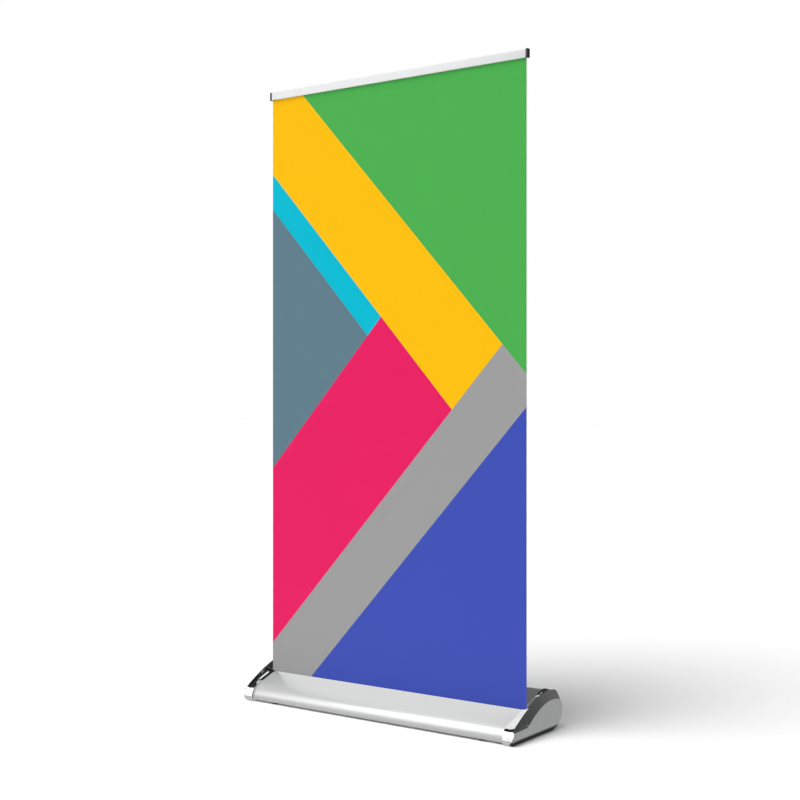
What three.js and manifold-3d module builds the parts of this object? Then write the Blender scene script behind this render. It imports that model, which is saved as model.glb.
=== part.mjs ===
// Roll-up banner stand: a teardrop aluminium base with a spring roller, a three-part
// telescopic pole, a hinged clamp rail and the printed sheet between them.
// Millimetres. X runs along the base, -Y is the front, +Z is up.
// The origin is on the floor, under the centre of the whole stand.

import * as THREE from 'three';
import { mergeVertices } from 'three/addons/utils/BufferGeometryUtils.js';
import Module from 'manifold-3d';

const wasm = await Module();
wasm.setup();

// ---- driving dimensions ----

const gap = 0.3;
const roundSteps = 20;
const smallSteps = 12;
const smallRadius = 4;

// printed sheet
const sheetWidth = 1000;
const sheetThickness = 0.6;
const sheetY = -26.5;
const sheetTop = 2045;

// base: the outline belongs to the end caps, and the shells lie inside it
const baseFloor = 2;
const baseFront = -147.5;
const baseRear = 147.5;
const slopeStart = [-100, 62];
const slopeEnd = [60, 118];
const shellInset = 4.3;
const shellWall = 2.4;
const shellHalf = 502;
const slotFront = sheetY - 2.7;
const slotRear = sheetY + 3;
const coverFront = -1.8;
const floorRear = 98;
const farAway = 300;

// end caps and the plates inside them
const capInner = 488;
const capRim = 519;
const capRampStart = 497;
const capMouthEnd = 506;
const capOuter = 526;
const capWall = 4;
const plateFrom = shellHalf + gap;
const plateThickness = 3;

// roller
const rollerZ = 38;
const rollerRadius = 16;
const rollerWall = 1.5;
const rollerHalf = 499;
const woundRadius = 17.3;
const rollerY = sheetY - sheetThickness / 2 - gap - woundRadius;
const axleRadius = 4;
const shaftSide = 7;
const shaftEnd = -150;
const bushRadius = 7.5;

// pole
const poleY = 19.5;
const poleFoot = 14;
const lowerTube = { outer: 12.5, inner: 11.3, from: poleFoot, to: 740 };
const middleTube = { outer: 11, inner: 9.8, from: 660, to: 1400 };
const upperTube = { outer: 9.5, inner: 8.5, from: 1320, to: 2026 };
const colletHeight = 12;
const collarBelow = 25;
const collarWall = 3.2;
const plugTop = 2042;

// top rail
const railTop = 2056;
const railBottom = 2031;
const railHalf = 500;
const railBack = -20.5;
const railPlateBack = -23.8;
const railPlateFront = sheetY + 0.5;
const jawFront = -33;
const jawPlate = 2.2;
const hingeY = -29.2;
const hingeZ = 2052;
const hingeRadius = 1.2;
const railCapLength = 7;

// feet
const footX = 405;
const footFrontY = -120;
const footRearY = 75;
const footRadius = 11;
const footHeight = 4.5;
const studRadius = 3;

// ---- materials ----

function material(colour, roughness, metalness) {
  return new THREE.MeshStandardMaterial({ color: colour, roughness, metalness });
}

const silver = material(0xcfd1d3, 0.35, 0.9);
const darkShell = material(0x5d5f62, 0.45, 0.7);
const chrome = material(0xe4e6e8, 0.08, 1);
const blackPlastic = material(0x1d1e20, 0.5, 0);
const greyPlastic = material(0x6a6d70, 0.55, 0);
const steel = material(0xb4b7ba, 0.3, 1);
const rubber = material(0x232325, 0.85, 0);
const film = material(0xe9eaeb, 0.6, 0);

// ---- solids ----

const stand = new THREE.Group();

function addPiece(name, geometry, finish) {
  const mesh = new THREE.Mesh(geometry, finish);
  mesh.name = name;
  stand.add(mesh);
  return mesh;
}

function toSolid(geometry) {
  const bare = geometry.clone();
  bare.deleteAttribute('normal');
  bare.deleteAttribute('uv');
  const merged = mergeVertices(bare, 1e-4);
  const mesh = new wasm.Mesh({
    numProp: 3,
    vertProperties: new Float32Array(merged.attributes.position.array),
    triVerts: new Uint32Array(merged.index.array),
  });
  return new wasm.Manifold(mesh);
}

function toGeometry(solid) {
  const mesh = solid.getMesh();
  const geometry = new THREE.BufferGeometry();
  geometry.setAttribute('position', new THREE.BufferAttribute(mesh.vertProperties, 3));
  geometry.setIndex(new THREE.BufferAttribute(mesh.triVerts, 1));
  geometry.computeVertexNormals();
  return geometry;
}

// a box between two corners
function boxBetween(low, high) {
  const size = high.map((value, axis) => value - low[axis]);
  const box = new THREE.BoxGeometry(...size);
  box.translate(...low.map((value, axis) => value + size[axis] / 2));
  return box;
}

// a closed section of (y, z) points, run from one x to another
function alongX(points, fromX, toX) {
  const section = new THREE.Shape(points);
  const body = new THREE.ExtrudeGeometry(section, { depth: toX - fromX, bevelEnabled: false });
  const turn = new THREE.Matrix4().makeBasis(
    new THREE.Vector3(0, 1, 0),
    new THREE.Vector3(0, 0, 1),
    new THREE.Vector3(1, 0, 0),
  );
  body.applyMatrix4(turn);
  body.translate(fromX, 0, 0);
  return body;
}

// a closed (radius, height) profile turned about a vertical axis
function turned(profile, x, y) {
  const points = profile.map(([radius, height]) => new THREE.Vector2(radius, height));
  const widest = Math.max(...profile.map(([radius]) => radius));
  const steps = widest < smallRadius ? smallSteps : roundSteps;
  const body = new THREE.LatheGeometry([...points, points[0]], steps);
  body.rotateX(Math.PI / 2);
  body.translate(x, y, 0);
  return body;
}

function upright(radius, fromZ, toZ, x, y) {
  return turned([[0, fromZ], [radius, fromZ], [radius, toZ], [0, toZ]], x, y);
}

function uprightTube(outer, inner, fromZ, toZ, x, y) {
  return turned([[inner, fromZ], [outer, fromZ], [outer, toZ], [inner, toZ]], x, y);
}

// a closed (radius, length) profile turned about a line along X
function turnedAlongX(profile, y, z) {
  const body = turned(profile, 0, 0);
  body.rotateY(Math.PI / 2);
  body.translate(0, y, z);
  return body;
}

function rodAlongX(radius, fromX, toX, y, z) {
  return turnedAlongX([[0, fromX], [radius, fromX], [radius, toX], [0, toX]], y, z);
}

function sleeveAlongX(outer, inner, fromX, toX, y, z) {
  return turnedAlongX([[inner, fromX], [outer, fromX], [outer, toX], [inner, toX]], y, z);
}

// ---- base section ----

// Each outline is the same seven stretches, so that one can be lofted to another:
// floor, rear undercut, rear face, crest, slope, nose and nose underside.
function outline(stretches) {
  const points = [];
  stretches.forEach(([from, control1, control2, to], index) => {
    const curve = new THREE.CubicBezierCurve(
      new THREE.Vector2(...from),
      new THREE.Vector2(...control1),
      new THREE.Vector2(...control2),
      new THREE.Vector2(...to),
    );
    points.push(...curve.getPoints(stretchSteps[index]).slice(0, -1));
  });
  return points;
}

function straight(from, to) {
  const third = (a, b, share) => a + (b - a) * share;
  return [
    from,
    [third(from[0], to[0], 1 / 3), third(from[1], to[1], 1 / 3)],
    [third(from[0], to[0], 2 / 3), third(from[1], to[1], 2 / 3)],
    to,
  ];
}

const stretchSteps = [1, 8, 6, 8, 6, 8, 4];

const fullOutline = outline([
  straight([-137, baseFloor], [floorRear, baseFloor]),
  [[floorRear, baseFloor], [122, baseFloor], [baseRear, 40], [baseRear, 60]],
  [[baseRear, 60], [baseRear, 76], [134, 108], [124, 116]],
  [[124, 116], [112, 126], [86, 127.1], slopeEnd],
  straight(slopeEnd, slopeStart),
  [slopeStart, [-118, 55.7], [baseFront, 43], [baseFront, 20]],
  [[baseFront, 20], [baseFront, 8], [-145, baseFloor], [-137, baseFloor]],
]);

// the rim of an end cap: it arches above the slope and drops round the nose
const rimShoulder = [125, 114];
const rimCrest = [78, 127.3];
const rimBrow = [-101, 67.3];
const rimOutline = outline([
  straight([-137, baseFloor], [floorRear, baseFloor]),
  [[floorRear, baseFloor], [122, baseFloor], [baseRear, 40], [baseRear, 60]],
  [[baseRear, 60], [baseRear, 78], [137, 103], rimShoulder],
  [rimShoulder, [114, 124], [100, 127.3], rimCrest],
  [rimCrest, [20, 127], [-45, 100.5], rimBrow],
  [rimBrow, [-118, 57.2], [baseFront, 44], [baseFront, 20]],
  [[baseFront, 20], [baseFront, 8], [-145, baseFloor], [-137, baseFloor]],
]);

// the flat side of an end cap: its upper edge is an arch below the crescent facet
const sideFloor = baseFloor + 1.5;
const sideShoulder = [133, 88.5];
const sideCrest = [80, 97.5];
const sideKink = [-62, 41.5];
const sideTip = [-144.5, 38.5];
const sideOutline = outline([
  straight([-136, sideFloor], [97, sideFloor]),
  [[97, sideFloor], [120, sideFloor], [145.5, 40], [145.5, 60]],
  [[145.5, 60], [145.5, 72], [141, 82], sideShoulder],
  [sideShoulder, [124, 95], [105, 97.5], sideCrest],
  [sideCrest, [25, 97.5], [-30, 66], sideKink],
  straight(sideKink, sideTip),
  straight(sideTip, [-136, sideFloor]),
]);

// moves every point of a counter-clockwise outline inwards by one distance
function inset(points, distance) {
  return points.map((point, index) => {
    const before = points[(index + points.length - 1) % points.length];
    const after = points[(index + 1) % points.length];
    const into = point.clone().sub(before).normalize();
    const out = after.clone().sub(point).normalize();
    const bisector = new THREE.Vector2(-into.y - out.y, into.x + out.x).normalize();
    const stretch = Math.max(bisector.dot(new THREE.Vector2(-into.y, into.x)), 0.5);
    return point.clone().addScaledVector(bisector, distance / stretch);
  });
}

// a solid between two outlines of the same number of points at two places along X
function loft(nearPoints, nearX, farPoints, farX) {
  const count = nearPoints.length;
  const vertices = [];
  nearPoints.forEach((point) => vertices.push(nearX, point.x, point.y));
  farPoints.forEach((point) => vertices.push(farX, point.x, point.y));
  const faces = [];
  for (let index = 0; index < count; index += 1) {
    const next = (index + 1) % count;
    faces.push(index, next, count + next, index, count + next, count + index);
  }
  THREE.ShapeUtils.triangulateShape(nearPoints, []).forEach(([a, b, c]) => faces.push(c, b, a));
  THREE.ShapeUtils.triangulateShape(farPoints, []).forEach(([a, b, c]) => {
    faces.push(count + a, count + b, count + c);
  });
  const body = new THREE.BufferGeometry();
  body.setAttribute('position', new THREE.Float32BufferAttribute(vertices, 3));
  body.setIndex(faces);
  return body;
}

const shellOuter = inset(fullOutline, shellInset);
const shellInner = inset(fullOutline, shellInset + shellWall);
const slopeRise = (slopeEnd[1] - slopeStart[1]) / (slopeEnd[0] - slopeStart[0]);
const slopeAngle = Math.atan(slopeRise);

// height of the shells' outer face at a place on the slope
function slopeHeight(y) {
  return slopeStart[1] + (y - slopeStart[0]) * slopeRise - shellInset / Math.cos(slopeAngle);
}

function shellRing() {
  const outer = toSolid(alongX(shellOuter, -shellHalf, shellHalf));
  const inner = toSolid(alongX(shellInner, -shellHalf - 1, shellHalf + 1));
  return outer.subtract(inner);
}

// a block that runs the length of a shell, with a hole for the end plates' screws
function screwPort(y, z, halfWidth, lowZ, highZ) {
  const low = [-shellHalf, y - halfWidth, lowZ];
  const high = [shellHalf, y + halfWidth, highZ];
  const hole = rodAlongX(portHoleRadius, -shellHalf - 1, shellHalf + 1, y, z);
  return { block: toSolid(boxBetween(low, high)), hole: toSolid(hole) };
}

const portHoleRadius = 1.9;
const ports = {
  nose: { y: -135.5, z: 12 },
  slope: { y: -72, z: 57 },
  crest: { y: 90, z: 112 },
};

function uprightHoles(solid, radius, places, fromZ, toZ) {
  return places.reduce(
    (body, [x, y]) => body.subtract(toSolid(upright(radius, fromZ, toZ, x, y))),
    solid,
  );
}

// ---- base shells ----

const coverScrewY = 91;
const coverScrewX = [-400, -140, 140, 400];
const socketScrewX = [-19.5, 19.5];
const footPlaces = [[-footX, footFrontY], [footX, footFrontY], [-footX, footRearY], [footX, footRearY]];
const coverScrewPlaces = coverScrewX.map((x) => [x, coverScrewY]);
const socketScrewPlaces = socketScrewX.map((x) => [x, poleY]);
const screwHole = 2.2;

function frontShell() {
  const aboveSlot = boxBetween([-farAway * 2, slotFront, 30], [farAway * 2, farAway, farAway]);
  const behindFloor = boxBetween([-farAway * 2, floorRear, -farAway], [farAway * 2, farAway, farAway]);
  const nosePort = screwPort(ports.nose.y, ports.nose.z, 4, 7, 16.5);
  const slopePort = screwPort(ports.slope.y, ports.slope.z, 4, 53, 64.4);
  const shell = shellRing()
    .subtract(toSolid(aboveSlot))
    .subtract(toSolid(behindFloor))
    .add(nosePort.block)
    .add(slopePort.block)
    .subtract(nosePort.hole)
    .subtract(slopePort.hole);
  const withScrewHoles = uprightHoles(shell, screwHole, [...coverScrewPlaces, ...socketScrewPlaces], 0, 20);
  return toGeometry(uprightHoles(withScrewHoles, studRadius + gap, footPlaces, 0, 20));
}

function rearCover() {
  const beforeCover = boxBetween([-farAway * 2, -farAway, -farAway], [farAway * 2, coverFront, farAway]);
  const aboveFloor = boxBetween([-farAway * 2, -farAway, -farAway], [farAway * 2, floorRear + gap, 50]);
  const flangeLow = baseFloor + shellInset + shellWall + gap;
  const flange = boxBetween([-shellHalf, 84, flangeLow], [shellHalf, 107, flangeLow + 2.4]);
  const crestPort = screwPort(ports.crest.y, ports.crest.z, 4, 108, 118.4);
  const poleHole = upright(lowerTube.outer + 3 + 2 * gap, 60, 140, 0, poleY);
  const cover = shellRing()
    .subtract(toSolid(beforeCover))
    .subtract(toSolid(aboveFloor))
    .add(toSolid(flange))
    .add(crestPort.block)
    .subtract(crestPort.hole)
    .subtract(toSolid(poleHole));
  return toGeometry(uprightHoles(cover, screwHole, coverScrewPlaces, 0, 20));
}

// the strip behind the slot, with a tongue that lies under the rear cover
function slotGuide() {
  const strip = boxBetween([-shellHalf, slotRear, 40], [shellHalf, coverFront - gap, farAway]);
  const bevel = (y) => slopeHeight(y) - shellWall / Math.cos(slopeAngle);
  const tongue = alongX(
    [
      new THREE.Vector2(slotRear, bevel(slotRear) - 8),
      new THREE.Vector2(slotRear + 1.6, bevel(slotRear) - 8),
      new THREE.Vector2(slotRear + 1.6, bevel(slotRear) - 1.2),
      new THREE.Vector2(4, bevel(4) - 2),
      new THREE.Vector2(4, bevel(4) - 0.4),
      new THREE.Vector2(coverFront - 0.4, bevel(coverFront) - 0.6),
      new THREE.Vector2(coverFront - 1.5, bevel(coverFront - 1.5) + 0.4),
      new THREE.Vector2(slotRear, bevel(slotRear) + 0.4),
    ],
    -shellHalf,
    shellHalf,
  );
  const poleHole = upright(lowerTube.outer + 3 + 2 * gap, 60, 140, 0, poleY);
  const guide = shellRing().intersect(toSolid(strip)).add(toSolid(tongue));
  return toGeometry(guide.subtract(toSolid(poleHole)));
}

// a thin lip that keeps the sheet off the front shell's cut edge
function slotLiner() {
  const top = slopeHeight(slotFront) + 0.8;
  const bottom = top - 9;
  const front = slotFront + gap;
  return boxBetween([-railHalf, front, bottom], [railHalf, front + 1, top]);
}

addPiece('base_front_shell', frontShell(), silver);
addPiece('base_rear_cover', rearCover(), darkShell);
addPiece('slot_guide', slotGuide(), silver);
addPiece('slot_liner', slotLiner(), blackPlastic);

// ---- ends of the base ----

function mirrored(geometry, side) {
  if (side > 0) {
    return geometry;
  }
  return toGeometry(toSolid(geometry).scale([-1, 1, 1]));
}

// a chromed moulding: a skirt over the shells' ends that ramps up to an arched rim,
// a crescent facet and a flat side
function endCap() {
  const skirt = toSolid(alongX(fullOutline, capInner, capRampStart));
  const ramp = toSolid(loft(fullOutline, capRampStart, rimOutline, capRim));
  const face = toSolid(loft(rimOutline, capRim, sideOutline, capOuter));
  const mouth = toSolid(alongX(inset(fullOutline, capWall), capInner - 1, capMouthEnd));
  const deeper = capWall + 1;
  const hollow = toSolid(
    loft(inset(fullOutline, deeper), capMouthEnd - 1, inset(sideOutline, deeper), capOuter - 3),
  );
  const sheetNotch = boxBetween([capInner - 1, slotFront - gap, 40], [shellHalf, slotRear + gap, farAway]);
  return toGeometry(skirt.add(ramp).add(face).subtract(mouth).subtract(hollow).subtract(toSolid(sheetNotch)));
}

// the plate that closes the shells and carries the roller
function endPlate(side) {
  const plate = toSolid(alongX(inset(fullOutline, shellInset), plateFrom, plateFrom + plateThickness));
  const through = [plateFrom - 1, plateFrom + plateThickness + 1];
  const bore = toSolid(rodAlongX(bushRadius + gap, ...through, rollerY, rollerZ));
  const half = shaftSide / 2 + gap;
  const square = toSolid(
    boxBetween([through[0], rollerY - half, rollerZ - half], [through[1], rollerY + half, rollerZ + half]),
  );
  const drilled = Object.values(ports).reduce(
    (body, port) => body.subtract(toSolid(rodAlongX(screwHole, ...through, port.y, port.z))),
    plate.subtract(side > 0 ? bore : square),
  );
  return toGeometry(drilled);
}

const plateScrew = { radius: 1.5, headRadius: 2.8, headDepth: 1.5, tip: 486 };

// a screw along X whose head sits on the outer face of an end plate
function plateScrewAt(port) {
  const headFace = plateFrom + plateThickness + gap;
  const headTop = headFace + plateScrew.headDepth;
  const profile = [
    [0, plateScrew.tip],
    [plateScrew.radius, plateScrew.tip],
    [plateScrew.radius, headFace],
    [plateScrew.headRadius, headFace],
    [plateScrew.headRadius, headTop],
    [0, headTop],
  ];
  return turnedAlongX(profile, port.y, port.z);
}

const sides = { left: -1, right: 1 };
for (const [sideName, side] of Object.entries(sides)) {
  addPiece(`end_cap_${sideName}`, mirrored(endCap(), side), chrome);
  addPiece(`end_plate_${sideName}`, mirrored(endPlate(side), side), greyPlastic);
  for (const [portName, port] of Object.entries(ports)) {
    addPiece(`plate_screw_${sideName}_${portName}`, mirrored(plateScrewAt(port), side), steel);
  }
}

// ---- roller ----

function rollerPlug(boreRadius) {
  const profile = [
    [boreRadius, 480],
    [rollerRadius - rollerWall - gap, 480],
    [rollerRadius - rollerWall - gap, rollerHalf + gap],
    [rollerRadius, rollerHalf + gap],
    [rollerRadius, rollerHalf + 2],
    [boreRadius, rollerHalf + 2],
  ];
  return turnedAlongX(profile, rollerY, rollerZ);
}

function axlePlug() {
  const plug = toSolid(rollerPlug(0));
  return toGeometry(plug.add(toSolid(rodAlongX(axleRadius, rollerHalf, 507, rollerY, rollerZ))));
}

function springShaft() {
  const half = shaftSide / 2;
  return boxBetween([-508, rollerY - half, rollerZ - half], [shaftEnd, rollerY + half, rollerZ + half]);
}

class Helix extends THREE.Curve {
  getPoint(share) {
    const angle = share * springTurns * Math.PI * 2;
    return new THREE.Vector3(
      springFrom + (springTo - springFrom) * share,
      springCoilRadius * Math.cos(angle),
      springCoilRadius * Math.sin(angle),
    );
  }
}

const springTurns = 10;
const springFrom = -470;
const springTo = -185;
const springCoilRadius = 10;
const springWire = 1.2;

function torsionSpring() {
  const wire = new THREE.Shape();
  wire.absarc(0, 0, springWire, 0, Math.PI * 2);
  const coil = new THREE.ExtrudeGeometry(wire, {
    steps: springTurns * 9,
    curveSegments: 3,
    extrudePath: new Helix(),
  });
  coil.translate(0, rollerY, rollerZ);
  return coil;
}

const tubeBore = rollerRadius - rollerWall;
const anchorProfile = [[6, -178], [tubeBore - gap, -178], [tubeBore - gap, -164], [6, -164]];
const bushProfile = [
  [axleRadius + gap, plateFrom],
  [bushRadius, plateFrom],
  [bushRadius, plateFrom + plateThickness],
  [axleRadius + gap, plateFrom + plateThickness],
];

addPiece(
  'roller_tube',
  sleeveAlongX(rollerRadius, tubeBore, -rollerHalf, rollerHalf, rollerY, rollerZ),
  silver,
);
addPiece(
  'wound_sheet',
  sleeveAlongX(woundRadius, rollerRadius + gap, -rollerHalf, rollerHalf, rollerY, rollerZ),
  film,
);
addPiece('roller_plug_right', axlePlug(), blackPlastic);
addPiece('roller_plug_left', mirrored(rollerPlug(6), -1), blackPlastic);
addPiece('axle_bush', turnedAlongX(bushProfile, rollerY, rollerZ), blackPlastic);
addPiece('spring_shaft', springShaft(), steel);
addPiece('torsion_spring', torsionSpring(), steel);
addPiece('spring_anchor', turnedAlongX(anchorProfile, rollerY, rollerZ), blackPlastic);

// ---- pole ----

// a plastic socket that stands on the floor of the base and ends in a collar on the slope
function poleSocket() {
  const outer = lowerTube.outer + 3;
  const top = slopeHeight(poleY);
  const column = toSolid(upright(outer, 9, top, 0, poleY));
  const foot = toSolid(upright(25, 9, 13, 0, poleY));
  const slab = new THREE.BoxGeometry(80, 80, 2.5);
  slab.translate(0, 0, gap + 1.25);
  slab.rotateX(slopeAngle);
  slab.translate(0, poleY, top);
  const collar = toSolid(upright(20, 40, 160, 0, poleY)).intersect(toSolid(slab));
  const neck = toSolid(upright(outer, 40, 160, 0, poleY));
  const neckCut = new THREE.BoxGeometry(80, 80, 60);
  neckCut.translate(0, 0, gap + 1 - 30);
  neckCut.rotateX(slopeAngle);
  neckCut.translate(0, poleY, top);
  const bore = toSolid(upright(lowerTube.outer + gap, poleFoot - gap, 160, 0, poleY));
  const body = column.add(foot).add(collar).add(neck.intersect(toSolid(neckCut))).subtract(bore);
  return toGeometry(uprightHoles(body, screwHole, socketScrewPlaces, 0, 13.5));
}

const floorScrewSize = { radius: 1.6, headRadius: 3.6, headDepth: 2 };
const socketScrewTip = 12.5;
const coverScrewTip = 16;

// a screw driven up through the floor of the base
function floorScrew([x, y], tip) {
  const headTop = baseFloor + shellInset - gap;
  const headUnderside = headTop - floorScrewSize.headDepth;
  const profile = [
    [0, headUnderside],
    [floorScrewSize.headRadius, headUnderside],
    [floorScrewSize.headRadius, headTop],
    [floorScrewSize.radius, headTop],
    [floorScrewSize.radius, tip],
    [0, tip],
  ];
  return turned(profile, x, y);
}

function poleTube(tube) {
  return uprightTube(tube.outer, tube.inner, tube.from, tube.to, 0, poleY);
}

function collet(tube) {
  const from = tube.to + gap;
  return uprightTube(tube.outer, tube.inner, from, from + colletHeight, 0, poleY);
}

// a twist-lock collar: a ribbed sleeve with a lip over the collet
function collar(tube) {
  const inner = tube.outer + gap;
  const outer = inner + collarWall;
  const bottom = tube.to - collarBelow;
  const lip = tube.to + 2 * gap + colletHeight;
  const profile = [
    [inner, bottom],
    [outer - 1, bottom],
    [outer, bottom + 3],
    [outer, lip],
    [outer - 1.5, lip + 4],
    [tube.inner + gap, lip + 4],
    [tube.inner + gap, lip],
    [inner, lip],
  ];
  return turned(profile, 0, poleY);
}

function topPlug() {
  const profile = [
    [0, upperTube.to - 30],
    [upperTube.inner - gap, upperTube.to - 30],
    [upperTube.inner - gap, upperTube.to + gap],
    [upperTube.outer, upperTube.to + gap],
    [upperTube.outer, plugTop - 3],
    [upperTube.outer - 3, plugTop],
    [0, plugTop],
  ];
  return turned(profile, 0, poleY);
}

addPiece('pole_socket', poleSocket(), blackPlastic);
for (const [index, place] of socketScrewPlaces.entries()) {
  addPiece(`socket_screw_${index + 1}`, floorScrew(place, socketScrewTip), steel);
}
for (const [index, place] of coverScrewPlaces.entries()) {
  addPiece(`cover_screw_${index + 1}`, floorScrew(place, coverScrewTip), steel);
}
addPiece('pole_lower', poleTube(lowerTube), silver);
addPiece('pole_middle', poleTube(middleTube), silver);
addPiece('pole_upper', poleTube(upperTube), silver);
addPiece('pole_collet_lower', collet(lowerTube), greyPlastic);
addPiece('pole_collet_upper', collet(middleTube), greyPlastic);
addPiece('pole_collar_lower', collar(lowerTube), blackPlastic);
addPiece('pole_collar_upper', collar(middleTube), blackPlastic);
addPiece('pole_top_plug', topPlug(), blackPlastic);

// ---- top rail ----

// a channel with its back open, which holds the hanger
function railRearBar() {
  const barBottom = railBottom + 0.5;
  const lipFront = railPlateBack - lipLap;
  const plate = boxBetween([-railHalf, railPlateFront, barBottom], [railHalf, railPlateBack, railTop]);
  const topLip = boxBetween([-railHalf, lipFront, railTop - lipThickness], [railHalf, railBack, railTop]);
  const lowLip = boxBetween([-railHalf, lipFront, barBottom], [railHalf, railBack, barBottom + lipThickness]);
  const body = toSolid(plate).add(toSolid(topLip)).add(toSolid(lowLip));
  return toGeometry(hangerScrewHoles(body, -20));
}

const lipLap = 1;
const lipThickness = 2;
const hangerScrewX = [-16, 16];
const hangerScrewZ = 2043.5;
const hangerScrewHole = 1.7;

// the holes for the hanger's screws, from inside the rail out to a given depth
function hangerScrewHoles(body, toY) {
  const drills = hangerScrewX.map((x) => toSolid(rodAlongY(hangerScrewHole, -28, toY, x)));
  return drills.reduce((solid, drill) => solid.subtract(drill), body);
}

// a rod along Y at the height of the hanger's screws
function rodAlongY(radius, fromY, toY, x) {
  const body = turned([[0, -toY], [radius, -toY], [radius, -fromY], [0, -fromY]], 0, 0);
  body.rotateX(Math.PI / 2);
  body.translate(x, 0, hangerScrewZ);
  return body;
}

const jawKnuckleRadius = 2.6;

// the front bar swings on the hinge rod and pinches the sheet with its lower lip
function railFrontJaw() {
  const plateBack = jawFront + jawPlate;
  const lipFront = plateBack - lipLap;
  const plate = toSolid(boxBetween([-railHalf, jawFront, railBottom], [railHalf, plateBack, railTop]));
  const topLip = toSolid(boxBetween([-railHalf, lipFront, railTop - 1.6], [railHalf, hingeY, railTop]));
  const lowLip = toSolid(boxBetween([-railHalf, lipFront, railBottom], [railHalf, -28.6, railBottom + 3]));
  const knuckle = toSolid(rodAlongX(jawKnuckleRadius, -railHalf, railHalf, hingeY, hingeZ));
  const bore = toSolid(rodAlongX(hingeRadius + gap, -railHalf - 1, railHalf + 1, hingeY, hingeZ));
  return toGeometry(plate.add(topLip).add(lowLip).add(knuckle).subtract(bore));
}

function railEndCap() {
  const cap = toSolid(
    boxBetween(
      [railHalf + gap, jawFront - 1, railBottom - 1.5],
      [railHalf + gap + railCapLength, railBack + 1, railTop + 1.5],
    ),
  );
  const hole = rodAlongX(hingeRadius + gap, railHalf, railHalf + 5, hingeY, hingeZ);
  return toGeometry(cap.subtract(toSolid(hole)));
}

const hangerTop = 2048;
const cupMouth = 2030;

// a bracket in the rail's back channel, with a cup that drops over the pole's top plug
function railHanger() {
  const plateRear = railPlateBack + gap + 2.7;
  const plateFront = railPlateBack + gap;
  const plate = toSolid(boxBetween([-22, plateFront, railBottom + 2.8], [22, plateRear, railTop - 2.3]));
  const arm = toSolid(boxBetween([-8, plateRear - 1, 2036], [8, poleY, hangerTop]));
  const cup = toSolid(upright(13.5, cupMouth, hangerTop, 0, poleY));
  const bore = toSolid(upright(10, cupMouth - 1, plugTop + gap, 0, poleY));
  const body = plate.add(arm).add(cup).subtract(bore);
  return toGeometry(hangerScrewHoles(body, -18));
}

function hangerScrew(x) {
  const head = toSolid(rodAlongY(3, -20.5, -18.7, x));
  return toGeometry(head.add(toSolid(rodAlongY(1.3, -25.8, -20, x))));
}

addPiece('rail_rear_bar', railRearBar(), silver);
addPiece('rail_front_jaw', railFrontJaw(), silver);
addPiece(
  'rail_grip_strip',
  boxBetween([-railHalf, -28.3, railBottom + 0.4], [railHalf, -27.1, railBottom + 2.6]),
  rubber,
);
addPiece('rail_hinge_rod', rodAlongX(hingeRadius, -504, 504, hingeY, hingeZ), steel);
addPiece('rail_hanger', railHanger(), blackPlastic);
for (const [sideName, side] of Object.entries(sides)) {
  addPiece(`rail_end_cap_${sideName}`, mirrored(railEndCap(), side), blackPlastic);
}
hangerScrewX.forEach((x, index) => addPiece(`hanger_screw_${index + 1}`, hangerScrew(x), steel));

// ---- printed sheet ----

const sheetFront = sheetY - sheetThickness / 2;
const sheetBack = sheetY + sheetThickness / 2;
addPiece(
  'printed_sheet',
  boxBetween([-sheetWidth / 2, sheetFront, rollerZ], [sheetWidth / 2, sheetBack, sheetTop]),
  film,
);

// ---- feet ----

const footNames = ['front_left', 'front_right', 'rear_left', 'rear_right'];

function footPad([x, y]) {
  const well = 2;
  const profile = [
    [0, 0],
    [footRadius - 1, 0],
    [footRadius, 1],
    [footRadius, footHeight],
    [studRadius + gap, footHeight],
    [studRadius + gap, well],
    [0, well],
  ];
  return turned(profile, x, y);
}

footPlaces.forEach((place, index) => {
  addPiece(`foot_pad_${footNames[index]}`, footPad(place), rubber);
  addPiece(`foot_stud_${footNames[index]}`, upright(studRadius, 2 + gap, 17, ...place), steel);
});

export default stand;
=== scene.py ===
from math import atan, cos, pi, radians, sin, sqrt

import bmesh
import bpy
from mathutils import Matrix, Vector
from mathutils.geometry import interpolate_bezier


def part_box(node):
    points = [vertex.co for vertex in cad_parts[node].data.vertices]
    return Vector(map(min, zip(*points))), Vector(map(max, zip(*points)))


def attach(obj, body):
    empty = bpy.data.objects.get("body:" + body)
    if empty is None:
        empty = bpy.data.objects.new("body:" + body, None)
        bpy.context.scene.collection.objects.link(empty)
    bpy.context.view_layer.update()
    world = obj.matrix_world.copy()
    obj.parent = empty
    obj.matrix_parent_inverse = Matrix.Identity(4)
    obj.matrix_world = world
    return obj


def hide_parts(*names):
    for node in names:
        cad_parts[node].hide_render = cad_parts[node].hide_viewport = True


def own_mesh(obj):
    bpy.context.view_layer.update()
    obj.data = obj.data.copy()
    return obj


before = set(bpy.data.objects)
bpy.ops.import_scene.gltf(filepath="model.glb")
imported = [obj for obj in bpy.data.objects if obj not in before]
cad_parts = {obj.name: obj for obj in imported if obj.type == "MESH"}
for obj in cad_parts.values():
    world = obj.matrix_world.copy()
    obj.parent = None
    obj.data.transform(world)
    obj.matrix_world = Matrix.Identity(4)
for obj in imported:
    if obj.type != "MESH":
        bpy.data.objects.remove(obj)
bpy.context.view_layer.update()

# ---- Aluminium front shell ----
# The front shell is an extruded aluminium section: floor, round nose and long front slope.
# It is satin anodised and cut to length; its holes, drilled from below for screws and feet, are not cut
# here.
# Sections are drawn in millimetres as (y, z) and become metres when a mesh is made.

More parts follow.
